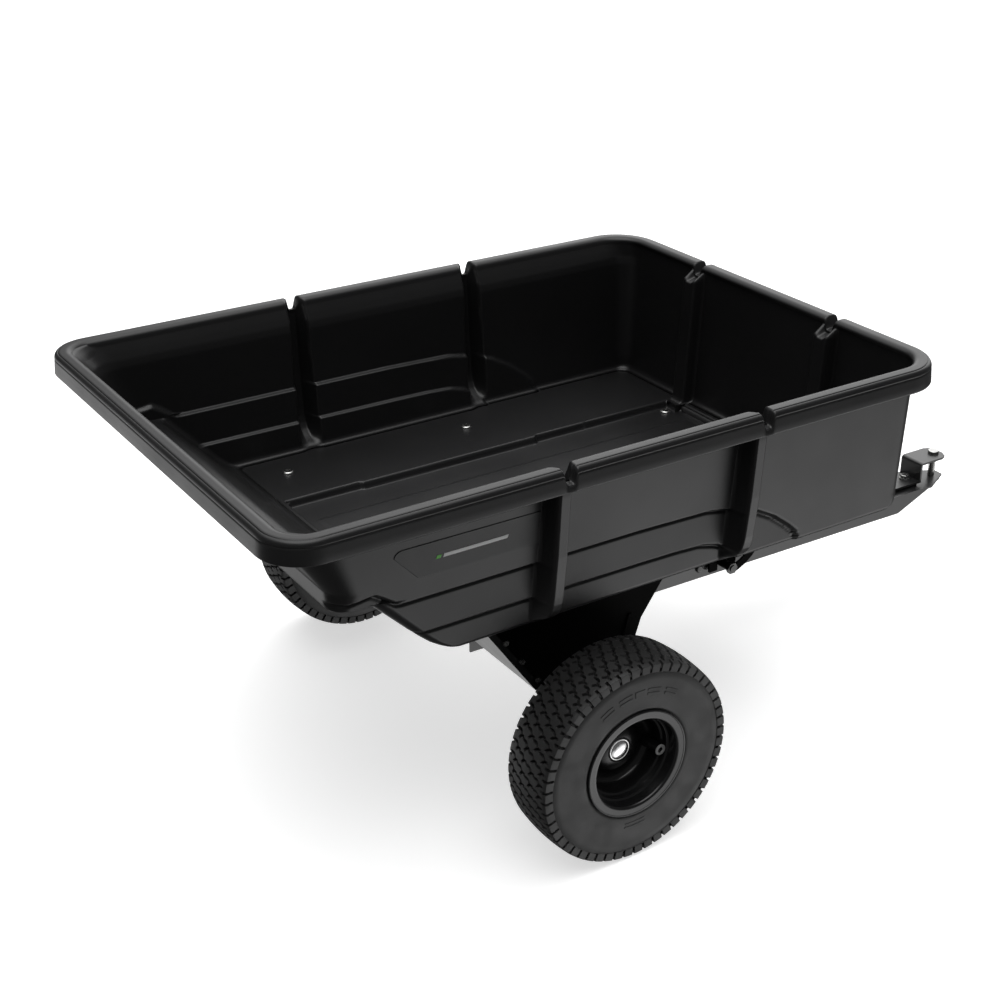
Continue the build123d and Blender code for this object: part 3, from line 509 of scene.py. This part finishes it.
def build_tub():
    """The whole tub as one mesh: rings up the outside, over the rim and down the inside, then the floor."""
    rings = []

    def add(loop, z):
        x, y = join(loop)
        scale = (rim_height(x, y) - SKIRT_LOW) / (RIM_TOP - SKIRT_LOW)
        heights = np.where(z > SKIRT_LOW, SKIRT_LOW + (z - SKIRT_LOW) * scale, z)
        rings.append(np.stack([x, y, heights], axis=1))

    x, y = join(outline(380.0, "out"))
    for z, width, ends in WELL_RINGS:
        wx = np.clip(x, WELL_BACK + ends, WELL_FRONT - ends)
        wy = np.clip(y * width / np.abs(y).max(), -width, width)
        rings.append(np.stack([wx, wy, np.full_like(x, z)], axis=1))
    for z in sorted({380.0, *np.arange(381.0, 516.0, 1.3), *levels(517.0, 634.0, 2.6, ())}):
        add(outline(float(z), "out"), float(z))
    for inset, z in RIM_SECTION:
        add(rim_loop(inset), z)
    for inset, z, channel in LIP_SECTION:
        add(rim_loop(inset, channel), z)
    for z in levels(384.0, 628.0, 2.6, (434.5, 493.0, 497.5))[::-1]:
        add(outline(float(z), "in"), float(z))

    around = len(rings[0])
    points = np.concatenate(rings)
    walls = grid_faces(len(rings), around, closed=True)
    underside = np.arange(around)[::-1]

    # floor: straight rows between the two sides, bent down into the well
    sx, sy, fx, fy, rx, ry = outline(384.0, "in")
    n, m = len(sx), len(fx)
    left = fy[::-1]
    w = ((left + left.max()) / (2 * left.max()))[None, :]
    along = ((sx - sx[0]) / (sx[-1] - sx[0]))[:, None]
    rear_x, front_x = rx[::-1][None, :], fx[::-1][None, :]
    gx = sx[:, None] + (1 - along) * (rear_x - sx[0]) + along * (front_x - sx[-1])
    rear_y, front_y = ry[::-1][None, :], fy[::-1][None, :]
    straight = (1 - along) * rear_y + along * front_y
    widening = sy[:, None] - ((1 - along) * sy[0] + along * sy[-1])
    gy = straight + np.sign(w - 0.5) * np.abs(2 * w - 1) * widening
    start = len(points)
    inside = np.stack([gx, gy, floor_height(gx, gy)], axis=-1)
    points = np.concatenate([points, inside.reshape(-1, 3)])

    # the floor's border is the last ring itself
    last = start - around
    swap = np.arange(len(points))
    for i in range(n - 1):
        swap[start + i * m] = last + i
    for j in range(m - 1):
        swap[start + (n - 1) * m + j] = last + (n - 1) + j
    for i in range(n - 1):
        swap[start + (n - 1 - i) * m + m - 1] = last + (n - 1) + (m - 1) + i
    for j in range(m - 1):
        swap[start + (m - 1 - j)] = last + 2 * (n - 1) + (m - 1) + j
    quads = np.concatenate([walls, swap[grid_faces(n, m, start)]])
    used, index = np.unique(np.concatenate([quads.ravel(), underside]), return_inverse=True)
    faces = index[: quads.size].reshape(-1, 4).tolist() + [index[quads.size :].tolist()]
    piece("tub_shell", points[used], faces, "tub_plastic", "bed", ("tub",))


def floor_height(x, y):
    """Height of the tub's floor: side strips, the sunken well, and the faint raised middle panel."""
    side = np.abs(y)
    edge = WELL - 4.5 * ease((x + 96.0) / 8.0) + 4.5 * ease((x - 249.0) / 8.0)
    into = ease((edge - side) / 6.0) * ease((x + 232.0) / 7.0) * ease((560.0 - x) / 7.0)
    panel_up = ease((119.0 - side) / 3.0) * ease((x + 205.0) / 4.0) * ease((540.0 - x) / 4.0)
    return 384.0 - 13.0 * into + 1.2 * panel_up


build_tub()


# ---------------------------------------------------------------- wheels
SIDES = (("left", 1.0), ("right", -1.0))
WHEEL_Y = 409.7
TYRE_RADIUS = 165.0
LUGS, LUG_STEPS = 54, 24
SIPE_ROWS = (-30.0, -10.0, 10.0, 30.0)
SIPE_DEPTH, SLOT_DEPTH = 6.2, 6.4
SHOULDER_PITCH = 19.2
# One Y sipe's strokes: from (across, along), to (across, along), and how much thinner the stroke is.
SIPE = (
    (-9.4, -4.8, -1.6, -4.8, 0.0),
    (-1.6, -4.8, 3.6, 1.2, 0.0),
    (3.6, 1.2, -0.6, 6.6, 0.0),
    (3.6, 1.2, 9.0, 1.2, 0.35),
)


def spin(profile, steps, way):
    """Points of a surface turned about the axle, from (distance outwards from the wheel's middle, radius)."""
    angle = np.linspace(0.0, 2.0 * np.pi, steps, endpoint=False)
    s, r = np.array(profile, dtype=float).T
    x = r[:, None] * np.cos(angle)[None, :]
    z = AXLE_Z + r[:, None] * np.sin(angle)[None, :]
    y = way * (WHEEL_Y + s[:, None] + 0.0 * angle[None, :])
    return np.stack([x, y, z], axis=-1)


def segment_distance(px, py, ax, ay, bx, by):
    """Distance from points to the segment from a to b."""
    dx, dy = bx - ax, by - ay
    t = np.clip(((px - ax) * dx + (py - ay) * dy) / (dx * dx + dy * dy), 0.0, 1.0)
    return np.hypot(px - ax - t * dx, py - ay - t * dy)


def tread_cut(s, u):
    """How deep the tread is cut at s across and u along, in lug pitches: rows of Y sipes and shoulder slots."""
    pitch = 2.0 * np.pi * TYRE_RADIUS / LUGS
    depth = np.zeros_like(s)
    for k, row_s in enumerate(SIPE_ROWS):
        along = (u + 0.5 * (k % 2)) % 1.0
        for shift in (-1.0, 0.0, 1.0):
            t = (along - 0.5 + shift) * pitch
            strokes = [segment_distance(s - row_s, t, *ends) + thinner for *ends, thinner in SIPE]
            near = np.minimum.reduce(strokes)
            depth = np.maximum(depth, SIPE_DEPTH * (1.0 - ease((near - 1.2) / 0.7)))
    slot = np.abs((u % 1.0) - 0.5) * pitch
    shoulder = (1.0 - ease((slot - 1.5) / 0.8)) * ease((np.abs(s) - 38.0) / 1.2)
    return np.maximum(depth, SLOT_DEPTH * shoulder)


def crown(s):
    """The uncut tread's radius at s across."""
    across = [0.0, 12.0, 26.0, 36.0, 42.0, 47.0]
    return np.interp(np.abs(s), across, [164.95, 164.7, 163.8, 162.7, 161.9, 160.4])


# The tyre's section below the tread, as (outwards, radius). The slotted part also has how deep the slots hold.
SLOTTED = ((47.0, 159.4, 1.0), (47.0, 156.0, 1.0), (46.95, 152.0, 0.9), (46.9, 149.2, 0.6), (46.8, 148.0, 0.0))
SIDEWALL = [(46.1, 147.4), (46.1, 146.6), (46.6, 145.8), (46.6, 136.0), (46.6, 122.0), (46.6, 108.0)]
SIDEWALL += [(46.6, 94.0), (46.4, 90.6), (45.6, 88.8), (44.6, 87.6), (44.4, 84.0)]
TYRE_INSIDE = [(44.4, 84.0), (40.0, 74.0), (0.0, 74.0), (-40.0, 74.0), (-44.4, 84.0)]


def build_tyre(side, way):
    """The tyre's cut tread, slotted shoulders, sidewalls and inside, with the sidewall's bars."""
    steps = LUGS * LUG_STEPS
    angle = 2.0 * np.pi * np.arange(steps) / steps
    s = np.linspace(-46.9, 46.9, 76)
    u = np.arange(steps) / LUG_STEPS
    radius = crown(s)[:, None] - tread_cut(*np.meshgrid(s, u, indexing="ij"))
    slot = 1.0 - ease((np.abs((u % 1.0) - 0.5) * SHOULDER_PITCH - 1.5) / 0.8)

    def shoulder(sign):
        out = [(sign * a - sign * 4.2 * hold * slot, r - hold * slot) for a, r, hold in SLOTTED]
        return out + [(np.full(steps, sign * a), np.full(steps, r)) for a, r in SIDEWALL]

    tread = [(np.full(steps, a), r) for a, r in zip(s, radius)]
    rows = shoulder(-1.0)[::-1] + tread + shoulder(1.0)
    shape = []
    for a, r in rows:
        shape.append(np.stack([r * np.cos(angle), way * (WHEEL_Y + a), AXLE_Z + r * np.sin(angle)], axis=1))
    points = np.concatenate(shape)
    faces = grid_faces(len(rows), steps, closed=True, flip=way > 0)
    start = len(points)
    points = np.concatenate([points, spin(TYRE_INSIDE, steps, way).reshape(-1, 3)])
    inside = grid_faces(len(TYRE_INSIDE), steps, start, closed=True, flip=way > 0)
    faces = np.concatenate([faces, inside])
    obj = piece("tyre_tread_" + side, points, faces, "tyre_rubber", "wheel_" + side, ("tyre_" + side,))
    sharpen_edges(obj, 40.0)
    sidewall_marks(side, way)


BAR_STEPS, BAR_HALF = 8, 5.5


def sidewall_marks(side, way):
    """Raised plain bars on the outer sidewall, in place of any lettering."""
    points, faces = [], []

    def bar(a0, a1, r0, r1, height):
        """One bar between two angles in degrees and two radii."""
        start = len(points)
        for s, shrink in ((46.3, 0.0), (46.6 + height, 0.0), (46.6 + height + 0.25, 0.35)):
            for k in range(BAR_STEPS + 1):
                a = math.radians(a0 + shrink * 0.5 + (a1 - a0 - shrink) * k / BAR_STEPS)
                for r in (r0 + shrink, r1 - shrink):
                    points.append((r * math.cos(a), way * (WHEEL_Y + s), AXLE_Z + r * math.sin(a)))
        ring = []
        for level in range(3):
            base = start + level * 2 * (BAR_STEPS + 1)
            lower = [base + 2 * k for k in range(BAR_STEPS + 1)]
            upper = [base + 2 * k + 1 for k in range(BAR_STEPS + 1)]
            ring.append(lower + upper[::-1])
        count = len(ring[0])
        for a, b in zip(ring, ring[1:]):
            for k in range(count):
                n = (k + 1) % count
                quad = (a[k], a[n], b[n], b[k])
                faces.append(quad if way < 0 else quad[::-1])
        top = start + 4 * (BAR_STEPS + 1)
        for k in range(BAR_STEPS):
            quad = (top + 2 * k, top + 2 * k + 1, top + 2 * k + 3, top + 2 * k + 2)
            faces.append(quad if way < 0 else quad[::-1])

    for middle in (62.0, 78.0, 102.0, 118.0):
        bar(middle - BAR_HALF, middle + BAR_HALF, 113.0, 116.4, 0.5)
        bar(middle - BAR_HALF, middle + BAR_HALF, 120.0, 123.4, 0.5)
    bar(86.0, 94.0, 113.0, 123.4, 0.5)
    for r in (100.0, 106.0):
        bar(-100.0, -80.0, r, r + 2.4, 0.3)
    obj = piece("sidewall_bars_" + side, points, faces, "tyre_rubber", "wheel_" + side)
    sharpen_edges(obj, 30.0)


# The pressed rim's section, as (outwards, radius): the outer face, then back along the inside.
RIM_PROFILE = [(40.0, 71.2), (44.0, 72.4), (44.8, 73.6), (44.8, 86.0), (45.4, 86.9), (46.6, 87.2), (47.9, 86.8)]
RIM_PROFILE += [(48.6, 85.6), (48.6, 84.6), (47.9, 84.0), (47.8, 83.0), (47.9, 76.0), (47.7, 74.0), (47.0, 72.8)]
RIM_PROFILE += [(45.6, 71.6), (43.0, 71.0), (34.0, 70.8), (30.0, 70.4), (28.8, 69.2), (28.2, 67.6), (26.6, 67.0)]
RIM_PROFILE += [(22.0, 66.8), (20.4, 66.2), (19.6, 64.6), (18.8, 63.4), (16.6, 62.9), (8.0, 62.6), (1.0, 62.0)]
RIM_PROFILE += [(-4.0, 60.4), (-7.0, 57.0), (-8.4, 53.0), (-8.8, 48.0), (-8.8, 43.6), (-8.2, 41.6), (-6.4, 40.4)]
RIM_PROFILE += [(-3.4, 38.6), (-0.8, 35.4), (1.4, 31.0), (2.9, 26.0), (3.7, 22.0), (3.9, 20.2), (3.3, 19.4)]
RIM_PROFILE += [(2.0, 19.2), (-5.4, 19.2)]


RIM_BACK = [(-5.4, 16.0), (-9.0, 16.0), (-9.0, 24.0), (-4.0, 30.0), (-8.0, 36.0), (-12.0, 42.0)]
RIM_BACK += [(-12.0, 54.0), (-8.5, 62.0), (-4.0, 65.0), (16.0, 66.0), (18.0, 70.6), (-40.0, 70.6)]
RIM_BACK += [(-44.0, 71.0), (-47.0, 72.8), (-47.8, 76.0), (-47.8, 83.0), (-48.6, 85.0), (-47.6, 87.0)]
RIM_BACK += [(-45.4, 86.9), (-44.8, 86.0), (-44.8, 73.6), (-44.0, 72.4), (-40.0, 72.6), (40.0, 72.6)]
HUB_TUBE = [(-56.0, 12.7), (-56.0, 16.0), (-5.2, 16.0), (-5.2, 12.7), (-56.0, 12.7)]
HUB_DOME = [(-1.5, 18.5), (2.6, 18.5), (3.7, 18.1), (4.3, 17.3), (4.6, 16.4), (4.4, 15.7), (4.7, 15.2)]
HUB_DOME += [(5.6, 12.0), (6.2, 8.0), (6.5, 4.0), (6.6, 0.02)]
VALVE_STEM = [(-14.0, 5.0), (-9.2, 5.0), (-8.6, 7.6), (-7.0, 8.2), (-3.0, 8.4), (8.0, 8.6), (24.0, 8.9)]
VALVE_STEM += [(25.6, 8.9), (26.4, 8.2), (26.4, 4.9), (25.4, 4.2), (12.0, 4.0), (12.0, 0.02)]
VALVE_RING = [(25.2, 4.3), (26.7, 4.6), (27.0, 5.2), (27.0, 8.2), (26.5, 8.8), (25.4, 9.0), (25.2, 4.3)]
VALVE_ANGLE = math.radians(9.0)
RIM_STEPS, DOME_STEPS, VALVE_STEPS = 144, 72, 40


def build_rim(side, way):
    """The pressed rim, closed into one skin, with the tube through its hub."""
    profile = RIM_PROFILE + RIM_BACK
    points = spin(profile, RIM_STEPS, way).reshape(-1, 3)
    count = len(profile)
    faces = grid_faces(count, RIM_STEPS, closed=True, flip=way < 0)
    first = np.arange(RIM_STEPS)
    after = (first + 1) % RIM_STEPS
    end = (count - 1) * RIM_STEPS
    close = np.stack([end + first, end + after, after, first], axis=1)
    faces = np.concatenate([faces, close if way > 0 else close[:, ::-1]])
    start = len(points)
    points = np.concatenate([points, spin(HUB_TUBE, RIM_STEPS, way).reshape(-1, 3)])
    tube = grid_faces(len(HUB_TUBE), RIM_STEPS, start, closed=True, flip=way > 0)
    faces = np.concatenate([faces, tube])
    name = "rim_pressed_" + side
    obj = piece(name, points, faces, "rim_paint", "wheel_" + side, ("rim_" + side,), look=RIM_LOOK)
    sharpen_edges(obj, 38.0)


def build_hub_dome(side, way):
    """The plain domed cap over the axle's end."""
    points = spin(HUB_DOME, DOME_STEPS, way).reshape(-1, 3)
    faces = grid_faces(len(HUB_DOME), DOME_STEPS, closed=True, flip=way > 0)
    obj = piece("hub_dome_" + side, points, faces, "hub_chrome", "tongue", ("hub_cap_" + side,))
    sharpen_edges(obj, 40.0)


def valve_points(profile, way, centre_at=None):
    """Points turned about the valve's leaning axis, or all about the axis's place at centre_at outwards."""
    s, r = np.array(profile).T
    angle = np.linspace(0.0, 2.0 * np.pi, VALVE_STEPS, endpoint=False)
    out = s if centre_at is None else np.full_like(s, centre_at)
    centre_r = 53.5 + np.clip((out + 8.0) / 34.0, 0.0, 1.0) * 9.5
    cx = centre_r * math.cos(VALVE_ANGLE)
    cz = AXLE_Z - centre_r * math.sin(VALVE_ANGLE)
    x = cx[:, None] + r[:, None] * np.cos(angle)
    y = way * (WHEEL_Y + s[:, None]) + 0.0 * angle
    z = cz[:, None] + r[:, None] * np.sin(angle)
    return np.stack([x, y, z], axis=-1).reshape(-1, 3)


def build_valve(side, way):
    """The valve's stem and the pale ring at its mouth."""
    wheel = "wheel_" + side
    faces = grid_faces(len(VALVE_STEM), VALVE_STEPS, closed=True, flip=way > 0)
    points = valve_points(VALVE_STEM, way)
    obj = piece("valve_" + side, points, faces, "grip_rubber", wheel, ("valve_stem_" + side,), look=RIM_LOOK)
    sharpen_edges(obj, 40.0)
    faces = grid_faces(len(VALVE_RING), VALVE_STEPS, closed=True, flip=way > 0)
    points = valve_points(VALVE_RING, way, VALVE_STEM[-1][0])
    obj = piece("valve_ring_" + side, points, faces, "grip_rubber", wheel, look=VALVE_LOOK)
    sharpen_edges(obj, 40.0)


RIM_LOOK = coated("rim_gloss", (0.008, 0.008, 0.0084), (0.013, 0.013, 0.0134), 0.24)
VALVE_LOOK = coated("valve_grey", (0.34, 0.34, 0.34), (0.42, 0.42, 0.415), 0.4)
for side_name, side_way in SIDES:
    build_tyre(side_name, side_way)
    build_rim(side_name, side_way)
    build_hub_dome(side_name, side_way)
    build_valve(side_name, side_way)


# ---------------------------------------------------------------- badges
def plate(name, outline_xz, way, thick, base, instead=(), look=None, bevel=0.5):
    """A thin bevelled plate on the tub's upper side panel. base is how far its back sits off the panel."""
    points, faces = [], []
    xz = np.array(outline_xz, dtype=float)
    middle = xz.mean(axis=0)
    for off, shrink in ((base, 0.0), (base + thick - bevel, 0.0), (base + thick, bevel)):
        for x, z in xz:
            d = middle - np.array([x, z])
            d = d / np.hypot(*d)
            px, pz = x + d[0] * shrink, z + d[1] * shrink
            points.append((px, way * (panel_full(pz) + off), pz))
    n = len(xz)
    for level in range(2):
        for k in range(n):
            m = (k + 1) % n
            quad = (level * n + k, level * n + m, (level + 1) * n + m, (level + 1) * n + k)
            faces.append(quad if way > 0 else quad[::-1])
    top = tuple(2 * n + k for k in range(n))
    faces.append(top if way > 0 else top[::-1])
    faces.append(tuple(range(n))[::-1] if way > 0 else tuple(range(n)))
    obj = piece(name, points, faces, "badge_plastic", "bed", instead, look=look)
    sharpen_edges(obj, 30.0)


def bar_outline(x0, x1, z0, z1, lean):
    """A box from x0 to x1 and z0 to z1 whose top leans forward."""
    return [(x0, z0), (x1, z0), (x1 + lean, z1), (x0 + lean, z1)]


BADGE_OUTLINE = [(-305.0, 520.0), (-117.0, 519.0), (-115.0, 566.6), (-330.0, 568.0), (-335.0, 566.6)]
BADGE_OUTLINE += [(-338.5, 564.0), (-340.6, 561.0), (-341.0, 558.5)]
BAR_OUTLINE = bar_outline(-268.0, -168.0, 541.0, 546.0, 2.0)
DOT_OUTLINE = bar_outline(-279.0, -272.0, 541.0, 546.0, 2.0)
MARK_PALE = moulded("mark_pale", (0.80, 0.80, 0.80), (0.86, 0.86, 0.85), 0.4, 0.05)
MARK_GREEN = moulded("mark_green", (0.10, 0.55, 0.04), (0.12, 0.62, 0.05), 0.4, 0.05)
for side_name, side_way in SIDES:
    plate("badge_panel_" + side_name, BADGE_OUTLINE, side_way, 1.3, -0.2, ("badge_" + side_name,))
    plate("badge_bar_" + side_name, BAR_OUTLINE, side_way, 0.5, 1.0, look=MARK_PALE, bevel=0.15)
    plate("badge_dot_" + side_name, DOT_OUTLINE, side_way, 0.5, 1.0, look=MARK_GREEN, bevel=0.15)


# ---------------------------------------------------------------- floor, light and camera
def pale(name, glow):
    """A matt white with a little light of its own, so that it stays pale all over."""
    m = Nodes(name)
    colour = m.tint(m.noise(1.5), (0.84, 0.84, 0.84), (0.86, 0.86, 0.86))
    rough = m.spread(m.noise(3.0), 0.9, 0.95)
    white = (1.0, 1.0, 1.0, 1.0)
    return m.finish(colour, rough, Specular_IOR_Level=0.0, Emission_Color=white, Emission_Strength=glow)


def build_stage(name, points, faces, glow):
    """A piece of the studio. Only the camera sees it: it neither lights nor shades the cart."""
    mesh = bpy.data.meshes.new(name)
    mesh.from_pydata(points, [], faces)
    mesh.materials.append(pale(name + "_pale", glow))
    obj = bpy.data.objects.new(name, mesh)
    bpy.context.scene.collection.objects.link(obj)
    obj.visible_diffuse = False
    obj.visible_glossy = False
    obj.visible_shadow = False


FLOOR_RADIUS, BACKDROP_HEIGHT, STAGE_SIDES = 40.0, 40.0, 96
FLOOR_GLOW, BACKDROP_GLOW = 0.62, 0.95
middle = row([0.0, 0.0, -0.5])
turns = [2.0 * math.pi * k / STAGE_SIDES for k in range(STAGE_SIDES)]
edge = []
for turn in turns:
    x, y = middle[0] + FLOOR_RADIUS * math.cos(turn), middle[1] + FLOOR_RADIUS * math.sin(turn)
    edge.append((x, y, middle[2]))
upper = [(x, y, z + BACKDROP_HEIGHT) for x, y, z in edge]
wall = []
for k in range(STAGE_SIDES):
    after = (k + 1) % STAGE_SIDES
    wall.append((k, after, STAGE_SIDES + after, STAGE_SIDES + k))
build_stage("floor", edge, [tuple(range(STAGE_SIDES))], FLOOR_GLOW)
build_stage("backdrop", edge + upper, wall, BACKDROP_GLOW)


def heading(azimuth, elevation):
    """A direction from its azimuth, in degrees from +Y towards +X, and its elevation."""
    a, e = math.radians(azimuth), math.radians(elevation)
    return (math.sin(a) * math.cos(e), math.cos(a) * math.cos(e), math.sin(e))


# The studio round the cart, by direction:
# (azimuth, elevation, degrees of full strength, degrees where it ends, strength)
PANELS = [
    (138.0, -40.0, 7.0, 21.0, 1.6),
    (112.0, -38.0, 6.0, 22.0, 1.1),
    (166.0, -42.0, 4.0, 16.0, 0.7),
    (-21.0, -22.0, 6.0, 22.0, 1.15),
    (26.0, -42.0, 6.0, 17.0, 0.75),
    (52.0, 22.0, 14.0, 36.0, 1.45),
    (26.0, 17.0, 5.0, 16.0, 0.35),
    (10.0, 78.0, 20.0, 50.0, 1.4),
]
AMBIENT = 0.10
SUN_STRENGTH, SUN_SPREAD, SUN_TILT = 1.15, 60.0, (12.0, -8.0, 0.0)
CAMERA_AT = [-1247.07, -2014.54, 1555.61]
CAMERA_TURN = (64.0, 0.0, -33.0)


def build_world():
    """Dark all round, with a few soft bright panels that the black surfaces reflect."""
    world = bpy.data.worlds.new("studio")
    bpy.context.scene.world = world
    world.use_nodes = True
    tree = world.node_tree
    way = tree.nodes.new("ShaderNodeTexCoord").outputs["Generated"]
    total = None
    for azimuth, elevation, full, end, strength in PANELS:
        near = tree.nodes.new("ShaderNodeVectorMath")
        near.operation = "DOT_PRODUCT"
        near.inputs[1].default_value = heading(azimuth, elevation)
        tree.links.new(way, near.inputs[0])
        lobe = tree.nodes.new("ShaderNodeMapRange")
        lobe.interpolation_type = "SMOOTHSTEP"
        lobe.inputs["From Min"].default_value = math.cos(math.radians(end))
        lobe.inputs["From Max"].default_value = math.cos(math.radians(full))
        lobe.inputs["To Max"].default_value = strength
        tree.links.new(near.outputs["Value"], lobe.inputs["Value"])
        add = tree.nodes.new("ShaderNodeMath")
        tree.links.new(lobe.outputs["Result"], add.inputs[0])
        if total:
            tree.links.new(total, add.inputs[1])
        else:
            add.inputs[1].default_value = AMBIENT
        total = add.outputs[0]
    tree.nodes["Background"].inputs["Color"].default_value = (1.0, 1.0, 1.0, 1.0)
    tree.links.new(total, tree.nodes["Background"].inputs["Strength"])


build_world()

sun = bpy.data.lights.new("overhead", "SUN")
sun.energy = SUN_STRENGTH
sun.angle = math.radians(SUN_SPREAD)
sun_obj = bpy.data.objects.new("overhead", sun)
sun_obj.rotation_euler = [math.radians(turn) for turn in SUN_TILT]
bpy.context.scene.collection.objects.link(sun_obj)

camera = bpy.data.cameras.new("camera")
camera.lens = 60.0
camera.sensor_width = 36.0
camera.clip_end = 200.0
cam_obj = bpy.data.objects.new("camera", camera)
cam_obj.location = Vector(row(CAMERA_AT))
cam_obj.rotation_euler = [math.radians(turn) for turn in CAMERA_TURN]
bpy.context.scene.collection.objects.link(cam_obj)
bpy.context.scene.camera = cam_obj
bpy.context.scene.view_settings.view_transform = "Standard"
